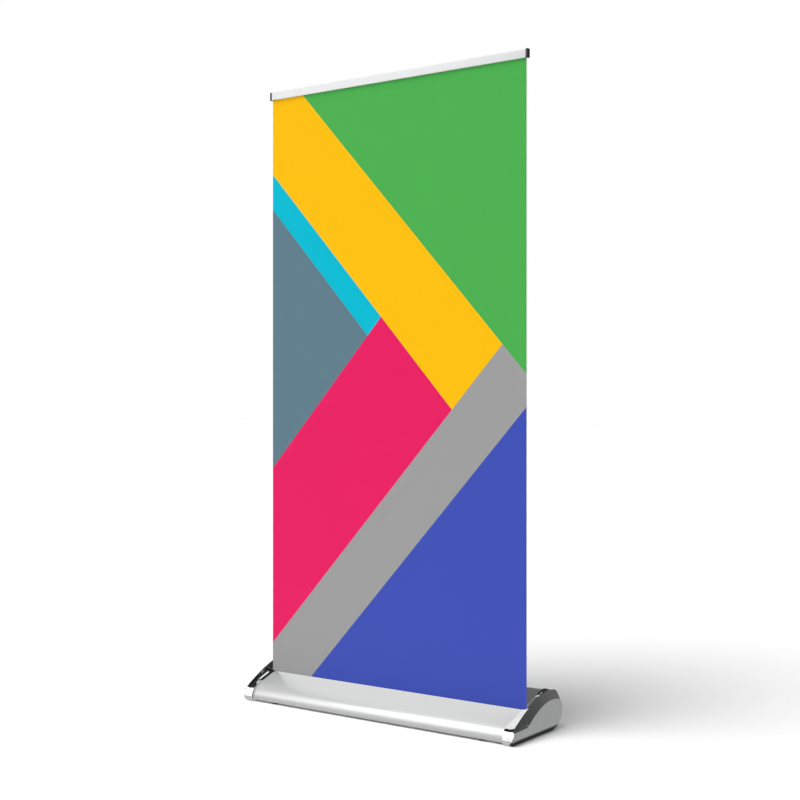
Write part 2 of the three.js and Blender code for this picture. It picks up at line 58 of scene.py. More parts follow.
MM = 0.001
SKIRT_FLOOR = 2
SLOPE_TOP = (60, 118)
SLOPE_FOOT = (-100, 62)
NOSE_TIP = (-147.5, 20)
NOSE_BASE = (-137, SKIRT_FLOOR)
FLOOR_REAR = (98, SKIRT_FLOOR)
REAR_BULGE = (147.5, 60)
REAR_SHOULDER = (124, 116)
SHELL_INSET = 4.3
SHELL_WALL = 2.4
SHEET_Y = sum(corner[1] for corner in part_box("printed_sheet")) / 2 / MM
SLOT_FRONT = SHEET_Y - 2.7
SHELL_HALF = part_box("base_front_shell")[1][0] / MM
slope_rise = (SLOPE_TOP[1] - SLOPE_FOOT[1]) / (SLOPE_TOP[0] - SLOPE_FOOT[0])
slope_angle = atan(slope_rise)


def on_slope(y):
    return (y, SLOPE_FOOT[1] + (y - SLOPE_FOOT[0]) * slope_rise)


def line(start, end, steps=1):
    return [tuple(Vector(start).lerp(Vector(end), step / steps)) for step in range(steps)]


def curve(start, handle, far_handle, end, steps=24):
    points = interpolate_bezier(Vector(start), Vector(handle), Vector(far_handle), Vector(end), steps + 1)
    return [tuple(point) for point in points[:-1]]


def move_inwards(points, distance, closed=True):
    """An outline moved to its left by a distance, with mitred corners."""
    moved = []
    for index, point in enumerate(points):
        before = points[index - 1] if closed or index else point
        after = points[(index + 1) % len(points)] if closed or index < len(points) - 1 else point
        run_in = Vector(point) - Vector(before)
        run_out = Vector(after) - Vector(point)
        run_in = (run_in if run_in.length else run_out).normalized()
        run_out = (run_out if run_out.length else run_in).normalized()
        normal = Vector((-run_in.y - run_out.y, run_in.x + run_out.x)).normalized()
        mitre = max(normal.dot(Vector((-run_in.y, run_in.x))), 0.5)
        moved.append(tuple(Vector(point) + normal * (distance / mitre)))
    return moved


def wall(path, outer_inset, thickness):
    outer = move_inwards(path, outer_inset, closed=False)
    inner = move_inwards(path, outer_inset + thickness, closed=False)
    return outer + inner[::-1]


def make_piece(name, vertices, faces, finish, sharp=32):
    mesh = bpy.data.meshes.new(name)
    mesh.from_pydata([Vector(vertex) * MM for vertex in vertices], [], faces)
    tidy = bmesh.new()
    tidy.from_mesh(mesh)
    bmesh.ops.remove_doubles(tidy, verts=tidy.verts, dist=2e-6)
    bmesh.ops.recalc_face_normals(tidy, faces=tidy.faces)
    tidy.to_mesh(mesh)
    tidy.free()
    mesh.polygons.foreach_set("use_smooth", [True] * len(mesh.polygons))
    mesh.set_sharp_from_angle(angle=radians(sharp))
    piece = bpy.data.objects.new(name, mesh)
    bpy.context.scene.collection.objects.link(piece)
    mesh.materials.append(finish)
    return piece


def sections_along_x(sections, from_x, to_x):
    """Extrudes closed (y, z) sections into one bar, as vertices and faces."""
    vertices = []
    faces = []
    for section in sections:
        count = len(section)
        first = len(vertices)
        vertices += [(from_x, y, z) for y, z in section]
        vertices += [(to_x, y, z) for y, z in section]
        near = [first + step for step in range(count)]
        far = [first + count + step for step in range(count)]
        for step in range(count):
            after = (step + 1) % count
            faces.append((near[step], near[after], far[after], far[step]))
        faces += [near[::-1], far]
    return vertices, faces


def bar(name, sections, half_length, finish):
    return make_piece(name, *sections_along_x(sections, -half_length, half_length), finish)


def settle(piece, sharp=32):
    """Applies a piece's modifiers, then marks its creases; a sharp of None keeps its own."""
    graph = bpy.context.evaluated_depsgraph_get()
    mesh = bpy.data.meshes.new_from_object(piece.evaluated_get(graph))
    piece.modifiers.clear()
    piece.data = mesh
    mesh.name = piece.name
    mesh.polygons.foreach_set("use_smooth", [True] * len(mesh.polygons))
    if sharp:
        mesh.set_sharp_from_angle(angle=radians(sharp))


def round_edges(piece, width, segments=2, sharp=32):
    bevel = piece.modifiers.new("edge round", "BEVEL")
    bevel.width = width * MM
    bevel.segments = segments
    bevel.limit_method = "ANGLE"
    bevel.angle_limit = radians(sharp)
    bevel.miter_outer = "MITER_ARC"
    settle(piece, sharp + 12)


def combine(piece, other, operation, sharp=32):
    boolean = piece.modifiers.new("combine", "BOOLEAN")
    boolean.operation = operation
    boolean.solver = "EXACT"
    boolean.object = other
    settle(piece, sharp)
    bpy.data.objects.remove(other)


def cut_away(piece, tool, sharp=32):
    combine(piece, tool, "DIFFERENCE", sharp)


def join_rings(ring_count, steps, closed=False):
    """Faces between rings of points; a closed stack joins its last ring to its first."""
    faces = []
    for ring in range(ring_count if closed else ring_count - 1):
        near = ring * steps
        far = (ring + 1) % ring_count * steps
        for step in range(steps):
            after = (step + 1) % steps
            faces.append((near + step, near + after, far + after, far + step))
    return faces


def turned(name, profile, finish, centre=(0, 0), steps=64, sharp=32):
    """A lathe-turned piece from a (radius, height) profile, which may start on the axis."""
    vertices = []
    for radius, height in profile:
        for step in range(steps):
            angle = 2 * pi * step / steps
            vertices.append((centre[0] + radius * cos(angle), centre[1] + radius * sin(angle), height))
    closed = profile[0][0] > 0 or profile[-1][0] > 0
    return make_piece(name, vertices, join_rings(len(profile), steps, closed), finish, sharp)


def set_inputs(node, values):
    for socket, value in values.items():
        node.inputs[socket].default_value = value


def new_finish(name, colour, roughness, metallic=0.0, coat=0.0):
    finish = bpy.data.materials.new(name)
    finish.use_nodes = True
    shader = finish.node_tree.nodes["Principled BSDF"]
    set_inputs(shader, {"Base Color": (*colour, 1), "Roughness": roughness, "Metallic": metallic})
    set_inputs(shader, {"Coat Weight": coat, "Coat Roughness": 0.12})
    return finish


def grain(finish, scale, detail=3.0):
    tree = finish.node_tree
    place = tree.nodes.new("ShaderNodeTexCoord")
    stretch = tree.nodes.new("ShaderNodeMapping")
    noise = tree.nodes.new("ShaderNodeTexNoise")
    stretch.inputs["Scale"].default_value = scale
    set_inputs(noise, {"Scale": 1.0, "Detail": detail})
    tree.links.new(place.outputs["Object"], stretch.inputs["Vector"])
    tree.links.new(stretch.outputs["Vector"], noise.inputs["Vector"])
    return noise.outputs["Fac"]


def grain_to(finish, source, socket, low, high):
    tree = finish.node_tree
    spread = tree.nodes.new("ShaderNodeMapRange")
    set_inputs(spread, {"From Min": 0.3, "From Max": 0.7, "To Min": low, "To Max": high})
    tree.links.new(source, spread.inputs["Value"])
    tree.links.new(spread.outputs["Result"], tree.nodes["Principled BSDF"].inputs[socket])


def grain_to_colour(finish, source, dark, light):
    tree = finish.node_tree
    mix = tree.nodes.new("ShaderNodeMix")
    mix.data_type = "RGBA"
    set_inputs(mix, {"A": (*dark, 1), "B": (*light, 1)})
    tree.links.new(source, mix.inputs["Factor"])
    tree.links.new(mix.outputs["Result"], tree.nodes["Principled BSDF"].inputs["Base Color"])


def grain_to_bump(finish, source, depth, strength=0.3):
    tree = finish.node_tree
    bump = tree.nodes.new("ShaderNodeBump")
    set_inputs(bump, {"Strength": strength, "Distance": depth})
    tree.links.new(source, bump.inputs["Height"])
    tree.links.new(bump.outputs["Normal"], tree.nodes["Principled BSDF"].inputs["Normal"])


def anodised(name, dark, light, roughness, metallic, scale):
    finish = new_finish(name, light, roughness, metallic)
    lines = grain(finish, scale)
    grain_to_colour(finish, lines, dark, light)
    grain_to(finish, lines, "Roughness", roughness - 0.05, roughness + 0.06)
    grain_to_bump(finish, grain(finish, scale, 1.0), 0.00002)
    return finish


# drawing lines run along the bar
ALONG_X = (3, 1400, 1400)
ALONG_Z = (1400, 1400, 3)
silver = anodised(
    "silver anodised bar", (0.49, 0.492, 0.497), (0.55, 0.552, 0.557), 0.38, 0.5, ALONG_X
)


def screw_boss(y, z, opening, steps=20):
    """An open screw port drawn in the extrusion, with its gap turned to an angle in degrees."""
    outer_radius = 4.2
    hole_radius = 1.9
    turn = [radians(opening + 25 + 310 * step / steps) for step in range(steps + 1)]
    outer = [(y + outer_radius * cos(angle), z + outer_radius * sin(angle)) for angle in turn]
    inner = [(y + hole_radius * cos(angle), z + hole_radius * sin(angle)) for angle in turn]
    return outer + inner[::-1]


def nose_foot(steps):
    return curve(NOSE_TIP, (NOSE_TIP[0], 8), (-145, SKIRT_FLOOR), NOSE_BASE, steps)


def nose_top(steps):
    return curve(SLOPE_FOOT, (-118, 55.7), (NOSE_TIP[0], 43), NOSE_TIP, steps)


front_path = (
    line(on_slope(SLOT_FRONT), SLOPE_FOOT, 6)
    + nose_top(40)
    + nose_foot(16)
    + line(NOSE_BASE, FLOOR_REAR, 4)
    + [FLOOR_REAR]
)
NOSE_PORT = (-135.5, 12)
SLOPE_PORT = (-72, 57)
front_sections = [
    wall(front_path, SHELL_INSET, SHELL_WALL),
    screw_boss(*NOSE_PORT, opening=20),
    screw_boss(*SLOPE_PORT, opening=-90),
]
front_shell = bar("front_shell", front_sections, SHELL_HALF, silver)
round_edges(front_shell, 0.5)
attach(front_shell, "base")
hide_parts("base_front_shell")

# ---- Rear cover ----
# A second extrusion carries on from the slot over the crest and down the back of the base.
# It is anodised a grey a little darker and less metallic than the front shell's silver, and its flange is
# screwed to the floor from below.

COVER_FRONT = -1.8
POLE_Y = sum(corner[1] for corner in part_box("pole_lower")) / 2 / MM
POLE_HOLE = 16.1
FLANGE_GAP = 0.3
FLANGE_WALL = 2.4
# the cover's grey is a little darker and less metallic than the front shell's silver
cover_grey = anodised(
    "graphite anodised bar", (0.44, 0.443, 0.448), (0.54, 0.543, 0.55), 0.38, 0.35, ALONG_X
)

cover_path = (
    curve((FLOOR_REAR[0] + 0.3, SKIRT_FLOOR), (122, SKIRT_FLOOR), (147.5, 40), REAR_BULGE)
    + curve(REAR_BULGE, (147.5, 76), (134, 108), REAR_SHOULDER)
    + curve(REAR_SHOULDER, (112, 126), (86, 127.1), SLOPE_TOP, 32)
    + line(SLOPE_TOP, on_slope(COVER_FRONT), 4)
    + [on_slope(COVER_FRONT)]
)
FLANGE_LOW = SKIRT_FLOOR + SHELL_INSET + SHELL_WALL + FLANGE_GAP
FLANGE_HIGH = FLANGE_LOW + FLANGE_WALL
flange = [(84, FLANGE_LOW), (106, FLANGE_LOW), (107, FLANGE_HIGH), (84, FLANGE_HIGH)]
CREST_PORT = (90, 112)
cover_sections = [
    wall(cover_path, SHELL_INSET, SHELL_WALL),
    flange,
    screw_boss(*CREST_PORT, opening=-90),
]
rear_cover = bar("rear_cover", cover_sections[:1], SHELL_HALF, cover_grey)
pole_drill_profile = [(0, 60), (POLE_HOLE, 60), (POLE_HOLE, 140), (0, 140)]
pole_drill = turned("pole drill", pole_drill_profile, cover_grey, (0, POLE_Y))
cut_away(rear_cover, pole_drill)
round_edges(rear_cover, 0.5)
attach(rear_cover, "base")
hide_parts("base_rear_cover")

cover_inside = bar("cover_flange", cover_sections[1:], SHELL_HALF, cover_grey)
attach(cover_inside, "base")

# ---- Slot guide and liner ----
# A narrow silver strip closes the slope behind the slot, and its tongue hooks under the cover.
# A black plastic liner on the front edge keeps the sheet off the cut metal.

SLOT_REAR = SHEET_Y + 3
slot_wall = wall(
    line(on_slope(COVER_FRONT - 0.3), on_slope(SLOT_REAR), 3) + [on_slope(SLOT_REAR)],
    SHELL_INSET,
    SHELL_WALL,
)
strip_under = on_slope(0)[1] - (SHELL_INSET + SHELL_WALL) / cos(slope_angle)


def under_strip(y, drop=0.0):
    return (y, strip_under + y * slope_rise - drop)


slot_tongue = [
    under_strip(SLOT_REAR, 8),
    under_strip(SLOT_REAR + 1.6, 8.6),
    under_strip(SLOT_REAR + 1.6, 1.2),
    under_strip(4, 2),
    under_strip(4, 0.4),
    under_strip(COVER_FRONT - 0.4, 0.6),
    under_strip(COVER_FRONT - 1.5, -0.4),
    under_strip(SLOT_REAR, -0.4),
]
slot_guide = bar("slot_strip", [slot_wall, slot_tongue], SHELL_HALF, silver)
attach(slot_guide, "base")
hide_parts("slot_guide")


def moulded(name, dark, light, roughness, coat=0.0, grain_scale=900):
    finish = new_finish(name, light, roughness, 0.0, coat)
    speckle = grain(finish, (grain_scale, grain_scale, grain_scale))
    grain_to_colour(finish, speckle, dark, light)
    grain_to(finish, speckle, "Roughness", roughness - 0.08, roughness + 0.08)
    grain_to_bump(finish, speckle, 0.00006)
    return finish


black_plastic = moulded("black moulded plastic", (0.008, 0.008, 0.009), (0.022, 0.022, 0.024), 0.38)
grey_plastic = moulded("grey moulded plastic", (0.10, 0.105, 0.11), (0.15, 0.155, 0.16), 0.5)

LINER_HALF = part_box("slot_liner")[1][0] / MM
LINER_DROP = 1.5
liner_low, liner_high = (corner[2] / MM - LINER_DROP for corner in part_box("slot_liner"))
liner_front, liner_rear = (corner[1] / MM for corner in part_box("slot_liner"))
liner_section = [
    (liner_front, liner_low),
    (liner_rear, liner_low + 0.4),
    (liner_rear, liner_high - 0.3),
    (liner_rear - 0.3, liner_high),
    (liner_front, liner_high),
]
liner = bar("liner_strip", [liner_section], LINER_HALF, black_plastic)
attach(liner, "base")
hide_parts("slot_liner")

# ---- End plates, roller and spring ----
# Grey moulded plates close the shells and carry the roller, inside the chromed end caps.
# The aluminium roller tube turns on a bush at one end and on the spring shaft at the other.


def dress(finish, *nodes):
    for node in nodes:
        for material_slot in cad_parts[node].material_slots:
            material_slot.material = finish


def zinc_plate(name):
    finish = new_finish(name, (0.55, 0.56, 0.58), 0.28, 1.0)
    patches = grain(finish, (260, 260, 260))
    grain_to_colour(finish, patches, (0.48, 0.49, 0.50), (0.62, 0.63, 0.65))
    grain_to(finish, patches, "Roughness", 0.2, 0.38)
    grain_to_bump(finish, grain(finish, (900, 900, 900)), 0.00001)
    return finish


def film(name, colour, roughness=0.42):
    finish = new_finish(name, colour, roughness)
    finish.node_tree.nodes["Principled BSDF"].inputs["Specular IOR Level"].default_value = 0.08
    peel = grain(finish, (420, 420, 420), 2.0)
    shade = tuple(channel * 0.975 for channel in colour)
    grain_to_colour(finish, peel, shade, colour)
    grain_to_bump(finish, peel, 0.00001, 0.15)
    return finish


zinc = zinc_plate("zinc plated steel")
film_back = film("film back, light grey", (0.60, 0.61, 0.62), 0.5)
dress(grey_plastic, "end_plate_left", "end_plate_right")
dress(black_plastic, "axle_bush", "roller_plug_left", "roller_plug_right", "spring_anchor")
dress(zinc, "spring_shaft", "torsion_spring")
dress(silver, "roller_tube")
dress(film_back, "wound_sheet")

# ---- Screws ----
# Zinc plated pan-head screws with a cross recess hold the plates, cover, socket and hanger.
# Each is one turned piece with its recess pressed into the head.

SCREW_STEPS = 32
HEAD_DEPTH = 2.0
THREAD_PITCH = 0.9
BLADE_HALF = 1.5
BLADE_SECTION = [(-0.35, -1), (0.35, -1), (0.2, 1.1), (-0.2, 1.1)]
# the radius of each screw's head and of its shank
PLATE_SCREW = (2.8, 1.5)
FLOOR_SCREW = (3.6, 1.6)
HANGER_SCREW = (3.0, 1.3)


def pan_screw(name, node, slot_body, axis, head_at_low, head_radius, shank_radius):
    low, high = (Vector(corner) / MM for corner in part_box(node))
    length = (high - low)[axis]
    profile = [(0, 0), (head_radius * 0.55, 0), (head_radius * 0.9, HEAD_DEPTH * 0.35)]
    profile += [(head_radius, HEAD_DEPTH * 0.75), (head_radius, HEAD_DEPTH), (shank_radius, HEAD_DEPTH)]
    ridge = HEAD_DEPTH + 0.6
    while ridge < length - 1.6:
        profile += [(shank_radius * 0.82, ridge), (shank_radius, ridge + THREAD_PITCH / 2)]
        ridge += THREAD_PITCH
    profile += [(shank_radius * 0.8, length - 1), (0, length)]
    screw = turned(name, profile, zinc, steps=SCREW_STEPS, sharp=40)
    for turn in (0, pi / 2):
        blade = bar("blade", [BLADE_SECTION], BLADE_HALF, zinc)
        blade.data.transform(Matrix.Rotation(turn, 4, "Z"))
        cut_away(screw, blade)
    if axis == 0:
        screw.data.transform(Matrix.Rotation(pi / 2, 4, "Y"))
    elif axis == 1:
        screw.data.transform(Matrix.Rotation(-pi / 2, 4, "X"))
    start = (low + high) / 2
    start[axis] = low[axis] if head_at_low else high[axis]
    if not head_at_low:
        flip = Vector((1, 1, 1))
        flip[axis] = -1
        screw.data.transform(Matrix.Diagonal((*flip, 1)))
        screw.data.flip_normals()
    screw.data.transform(Matrix.Translation(start * MM))
    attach(screw, slot_body)
    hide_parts(node)


for side in ("left", "right"):
    for port in ("nose", "slope", "crest"):
        place = f"{side}_{port}"
        pan_screw(f"plate_fixing_{place}", f"plate_screw_{place}", "base", 0, side == "left", *PLATE_SCREW)
for number in (1, 2):
    pan_screw(f"socket_fixing_{number}", f"socket_screw_{number}", "base", 2, True, *FLOOR_SCREW)
    pan_screw(f"hanger_fixing_{number}", f"hanger_screw_{number}", "rail", 1, False, *HANGER_SCREW)
for number in (1, 2, 3, 4):
    pan_screw(f"cover_fixing_{number}", f"cover_screw_{number}", "base", 2, True, *FLOOR_SCREW)

# ---- Chromed end caps ----
# Each cap is an injection moulding, chrome plated, whose skirt stands proud of the shells.
# It thins on to the slope, climbs to an arched rim, and a crescent facet leans to its flat side.

CAP_INNER = 488
CAP_RIM = 519
CAP_OUTER = 526
CAP_WALL = 4
RIM_ROUND = 0.9
FOOT_ROLL = 15
NOSE_ROLL = 5
MOUTH_END = 506
# steps along each stretch of an outline: floor, rear, shoulder, crest, slope, two of nose, foot
STEPS = (12, 24, 24, 36, 40, 22, 8, 16)
nose_steps = STEPS[5] + STEPS[6]
floor_outline = line(NOSE_BASE, FLOOR_REAR, STEPS[0])
floor_outline += curve(FLOOR_REAR, (122, SKIRT_FLOOR), (147.5, 40), REAR_BULGE, STEPS[1])
skirt_outline = (
    floor_outline
    + curve(REAR_BULGE, (147.5, 76), (134, 108), REAR_SHOULDER, STEPS[2])
    + curve(REAR_SHOULDER, (112, 126), (86, 127.1), SLOPE_TOP, STEPS[3])
    + line(SLOPE_TOP, SLOPE_FOOT, STEPS[4])
    + nose_top(nose_steps)
    + nose_foot(STEPS[7])
)
# the rim arches above the slope, then drops round the nose
RIM_CREST = (78, 127.3)
RIM_BROW = (-101, 67.3)
RIM_SHOULDER = (125, 114)
rim_outline = (
    floor_outline
    + curve(REAR_BULGE, (147.5, 78), (137, 103), RIM_SHOULDER, STEPS[2])
    + curve(RIM_SHOULDER, (114, 124), (100, RIM_CREST[1]), RIM_CREST, STEPS[3])
    + curve(RIM_CREST, (20, 127), (-45, 100.5), RIM_BROW, STEPS[4])
    + curve(RIM_BROW, (-118, 57.2), (NOSE_TIP[0], 44), NOSE_TIP, nose_steps)
    + nose_foot(STEPS[7])
)
# the flat side: a long crescent above, a kink at its front, and a foot that rolls under
SIDE_FLOOR = 3.5
SIDE_REAR = (145.5, 60)
SIDE_SHOULDER = (133, 88.5)
SIDE_CREST = (80, 97.5)
SIDE_KINK = (-62, 41.5)
SIDE_TIP = (-143.5, 38.5)
SIDE_NOSE = (-147.2, 20)
side_outline = (
    line((-136, SIDE_FLOOR), (97, SIDE_FLOOR), STEPS[0])
    + curve((97, SIDE_FLOOR), (120, SIDE_FLOOR), (SIDE_REAR[0], 40), SIDE_REAR, STEPS[1])
    + curve(SIDE_REAR, (SIDE_REAR[0], 72), (141, 82), SIDE_SHOULDER, STEPS[2])
    + curve(SIDE_SHOULDER, (124, 95), (105, SIDE_CREST[1]), SIDE_CREST, STEPS[3])
    + curve(SIDE_CREST, (25, SIDE_CREST[1]), (-30, 66), SIDE_KINK, STEPS[4])
    + line(SIDE_KINK, SIDE_TIP, STEPS[5])
    + line(SIDE_TIP, SIDE_NOSE, STEPS[6])
    + curve(SIDE_NOSE, (SIDE_NOSE[0], 8), (-145, SIDE_FLOOR), (-136, SIDE_FLOOR), STEPS[7])
)
# a moulded seam runs round the nose, level with its tip
SEAM_DEPTH = 0.7
seam_at = sum(STEPS[:7])


def chrome_plate(name):
    finish = new_finish(name, (0.74, 0.745, 0.75), 0.07, 1.0)
    ripple = grain(finish, (60, 60, 60), 2.0)
    grain_to_colour(finish, ripple, (0.71, 0.715, 0.72), (0.76, 0.765, 0.77))
    grain_to(finish, ripple, "Roughness", 0.05, 0.10)
    grain_to_bump(finish, ripple, 0.00004, 0.2)
    return finish


chrome = chrome_plate("chrome plated moulding")


def ramp_ring(x, share):
    """A ring on the top of the cap, between the skirt (share 0) and the rim (share 1)."""
    pairs = zip(skirt_outline, rim_outline)
    return [(x, *Vector(skirt).lerp(Vector(rim), share)) for skirt, rim in pairs]


def side_ring(share):
    """A ring between the rim (share 0) and the flat side (share 1)."""
    x = CAP_RIM + (CAP_OUTER - CAP_RIM) * share
    return [(x, *Vector(rim).lerp(Vector(side), share)) for rim, side in zip(rim_outline, side_outline)]


def side_climb(share):
    """A ring of the flat side whose low and front points have climbed clear of the rounding."""
    low = SKIRT_FLOOR + FOOT_ROLL * share
    front = NOSE_TIP[0] + NOSE_ROLL * share
    return [(CAP_OUTER, max(y, front), max(z, low)) for y, z in side_outline]


def quarter_round(x, room, radius):
    """Draws a point near the flat side in along a quarter circle, from its room to the edge."""
    start = CAP_OUTER - radius
    if room >= radius or x <= start:
        return x
    drop = 1 - max(room, 0) / radius
    return start + (x - start) * sqrt(max(1 - drop * drop, 0))


def rolled_under(ring):
    """A ring with its points near the floor and near the nose drawn in round the edge."""
    rolled = []
    for x, y, z in ring:
        x = quarter_round(x, z - SKIRT_FLOOR, FOOT_ROLL)
        rolled.append((quarter_round(x, y - NOSE_TIP[0], NOSE_ROLL), y, z))
    return rolled


def flat_ring(x, inset):
    return [(x, y, z) for y, z in move_inwards(skirt_outline, inset)]


# the skirt is thin between these depths on the slope, and thickens over this distance
THIN_FROM, THIN_TO = -112, 64
THICKENS_OVER = 20
SLOPE_ABOVE = 40


def feathered_ring(x, inset):
    """A ring of the skirt that thins towards the shell on the slope, but not round the nose."""
    ring = []
    for (y, z), (thin_y, thin_z) in zip(skirt_outline, move_inwards(skirt_outline, inset)):
        inside = min(y - THIN_FROM, THIN_TO - y) / THICKENS_OVER
        on_top = min(max(inside, 0), 1) if z > SLOPE_ABOVE else 0
        ring.append((x, y + (thin_y - y) * on_top, z + (thin_z - z) * on_top))
    return ring


# how far in each ring of the skirt lies, then how far each ring of the ramp has risen
FEATHER = ((CAP_INNER, 3.4), (CAP_INNER + 0.4, 3.0), (494, 2.3), (500, 1.2))
RAMP = ((503.0, 0.12), (503.5, 0.10), (504.2, 0.18))
RAMP += ((508, 0.38), (512, 0.61), (515.5, 0.81), (CAP_RIM, 1.0))
CLIMB_STEPS = 14
CAP_CREASE = 9
NOTCH_GAP = 0.3
notch_front, notch_rear = SLOT_FRONT - NOTCH_GAP, SLOT_REAR + NOTCH_GAP
notch_section = [(notch_front, 40), (notch_rear, 40), (notch_rear, 200), (notch_front, 200)]
side_shares = [step / 8 for step in range(1, 9)]


def end_cap(side_name, side):
    rings = [flat_ring(MOUTH_END, CAP_WALL), flat_ring(CAP_INNER, CAP_WALL)]
    rings += [feathered_ring(x, inset) for x, inset in FEATHER]
    rings += [ramp_ring(x, share) for x, share in RAMP]
    rings += [rolled_under(side_ring(share)) for share in side_shares]
    climb = [1 - cos(pi / 2 * step / CLIMB_STEPS) for step in range(1, CLIMB_STEPS + 1)]
    rings += [rolled_under(side_climb(share)) for share in climb]
    for ring in rings[2:-1]:
        x, y, z = ring[seam_at]
        ring[seam_at] = (x, y + SEAM_DEPTH, z)
    count = len(skirt_outline)
    vertices = [(side * x, y, z) for ring in rings for x, y, z in ring]
    faces = join_rings(len(rings), count)
    last = (len(rings) - 1) * count
    faces.append([last + step for step in range(count)])
    faces.append(list(range(count))[::-1])
    cap = make_piece(f"chrome_cap_{side_name}", vertices, faces, chrome, sharp=CAP_CREASE)
    notch = sections_along_x([notch_section], side * (CAP_INNER - 2), side * SHELL_HALF)
    cut_away(cap, make_piece("notch", *notch, chrome), CAP_CREASE)
    bevel = cap.modifiers.new("rim round", "BEVEL")
    bevel.width = RIM_ROUND * MM
    bevel.segments = 3
    bevel.limit_method = "ANGLE"
    bevel.angle_limit = radians(22)
    bevel.harden_normals = True
    settle(cap, None)
    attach(cap, "base")
    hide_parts(f"end_cap_{side_name}")


end_cap("left", -1)
end_cap("right", 1)

# ---- Pole socket ----
# A black nylon socket stands on the floor of the base and holds the foot of the pole.
# Its collar lies on the rear cover, and two screws come up through the floor.

LOWER_RADIUS = 12.5
SOCKET_WALL = 3
SOCKET_BASE = 9
SOCKET_FOOT_RADIUS = 25
COLLAR_RADIUS = 20
socket_top = on_slope(POLE_Y)[1] - SHELL_INSET / cos(slope_angle)
column_profile = [
    (LOWER_RADIUS + 0.3, 13.7),
    (0, 13.7),
    (0, SOCKET_BASE),
    (SOCKET_FOOT_RADIUS - 0.6, SOCKET_BASE),
    (SOCKET_FOOT_RADIUS, SOCKET_BASE + 0.6),
    (SOCKET_FOOT_RADIUS, 13),
    (LOWER_RADIUS + SOCKET_WALL + 1.5, 13),
    (LOWER_RADIUS + SOCKET_WALL, 15),
    (LOWER_RADIUS + SOCKET_WALL, socket_top - 8),
    (LOWER_RADIUS + 0.3, socket_top - 8),
]
socket = turned("pole_cup", column_profile, black_plastic, (0, POLE_Y))
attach(socket, "base")
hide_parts("pole_socket")

collar_profile = [
    (LOWER_RADIUS + 0.35, -8),
    (LOWER_RADIUS + SOCKET_WALL - 0.2, -8),
    (LOWER_RADIUS + SOCKET_WALL - 0.2, 0.35),
    (COLLAR_RADIUS, 0.35),
    (COLLAR_RADIUS, 1.6),
    (COLLAR_RADIUS - 0.8, 2.4),
    (LOWER_RADIUS + 2.2, 2.8),
    (LOWER_RADIUS + 0.9, 2.5),
    (LOWER_RADIUS + 0.35, 1.6),
]
socket_collar = turned("pole_cup_collar", collar_profile, black_plastic, steps=72, sharp=45)
# the collar leans with the slope, sheared so that its bore stays upright
lean = Matrix.Identity(4)
lean[2][1] = slope_rise
socket_collar.data.transform(Matrix.Translation(Vector((0, POLE_Y, socket_top)) * MM) @ lean)
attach(socket_collar, "base")

# ---- Telescopic pole ----
# Three drawn aluminium tubes slide in one another, each end rolled slightly inwards.
# Twist-lock collars with grip ribs pinch a split collet on to the next tube.

tube_finish = anodised("silver anodised tube", (0.58, 0.59, 0.60), (0.68, 0.69, 0.70), 0.30, 0.7, ALONG_Z)


def pole_tube(name, node, body, wall_thickness):
    low, high = (Vector(corner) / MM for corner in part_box(node))
    outer = (high.x - low.x) / 2
    inner = outer - wall_thickness
    profile = [
        (inner, low.z),
        (outer - 0.3, low.z),
        (outer, low.z + 0.4),
        (outer, high.z - 0.8),
        (outer - 0.15, high.z - 0.3),
        (outer - 0.45, high.z),
        (inner, high.z),
    ]
    tube = turned(name, profile, tube_finish, (0, POLE_Y), steps=96, sharp=50)
    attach(tube, body)
    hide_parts(node)


pole_tube("tube_lower", "pole_lower", "base", 1.2)
pole_tube("tube_middle", "pole_middle", "pole_middle", 1.2)
pole_tube("tube_upper", "pole_upper", "pole_upper", 1.0)
dress(grey_plastic, "pole_collet_lower", "pole_collet_upper")

RIBS = 24
RIB_STEPS = 8
# rings up a collar: height above its foot, or below its head, then the inset and the rib depth
FOOT_RINGS = ((0, 1.4, 0), (0.8, 0.6, 0), (2.5, 0.3, 0), (6, 0.3, 0), (9, 0, 0.9))
HEAD_RINGS = ((10, 0, 0.9), (7, 0.5, 0), (3, 0.9, 0), (0, 2.2, 0))
COLLAR_LIP = 4


def twist_collar(name, node, body, bore, lip_bore):
    low, high = (Vector(corner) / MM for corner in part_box(node))
    outer = (high.x - low.x) / 2
    lip_low = high.z - COLLAR_LIP
    rings = [(low.z + rise, outer - 0.05 - inset, depth) for rise, inset, depth in FOOT_RINGS]
    rings += [(high.z - drop, outer - 0.05 - inset, depth) for drop, inset, depth in HEAD_RINGS]
    rings += [(high.z, lip_bore, 0), (lip_low, lip_bore, 0), (lip_low, bore, 0), (low.z, bore, 0)]
    steps = RIBS * RIB_STEPS
    vertices = []
    for height, full_radius, rib_depth in rings:
        for step in range(steps):
            angle = 2 * pi * step / steps
            radius = full_radius - rib_depth * (0.5 - 0.5 * cos(RIBS * angle)) ** 2
            vertices.append((radius * cos(angle), POLE_Y + radius * sin(angle), height))
    collar = make_piece(name, vertices, join_rings(len(rings), steps, True), black_plastic, sharp=45)
    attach(collar, body)
    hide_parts(node)


twist_collar("twist_lock_lower", "pole_collar_lower", "collar_lower", LOWER_RADIUS + 0.3, 11.6)
twist_collar("twist_lock_upper", "pole_collar_upper", "collar_upper", 11.3, 10.1)

plug_low, plug_high = (corner[2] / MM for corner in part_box("pole_top_plug"))
PLUG_SEAT = 2026.3
plug_profile = [
    (0, plug_low),
    (7.6, plug_low),
    (8.2, plug_low + 1),
    (8.2, PLUG_SEAT),
    (9.2, PLUG_SEAT),
    (9.5, PLUG_SEAT + 0.4),
    (9.5, plug_high - 5),
    (8.8, plug_high - 2.4),
    (7.0, plug_high - 0.7),
    (4.0, plug_high),
    (0, plug_high),
]
top_plug = turned("pole_tip", plug_profile, black_plastic, (0, POLE_Y), sharp=50)
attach(top_plug, "pole_upper")
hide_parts("pole_top_plug")

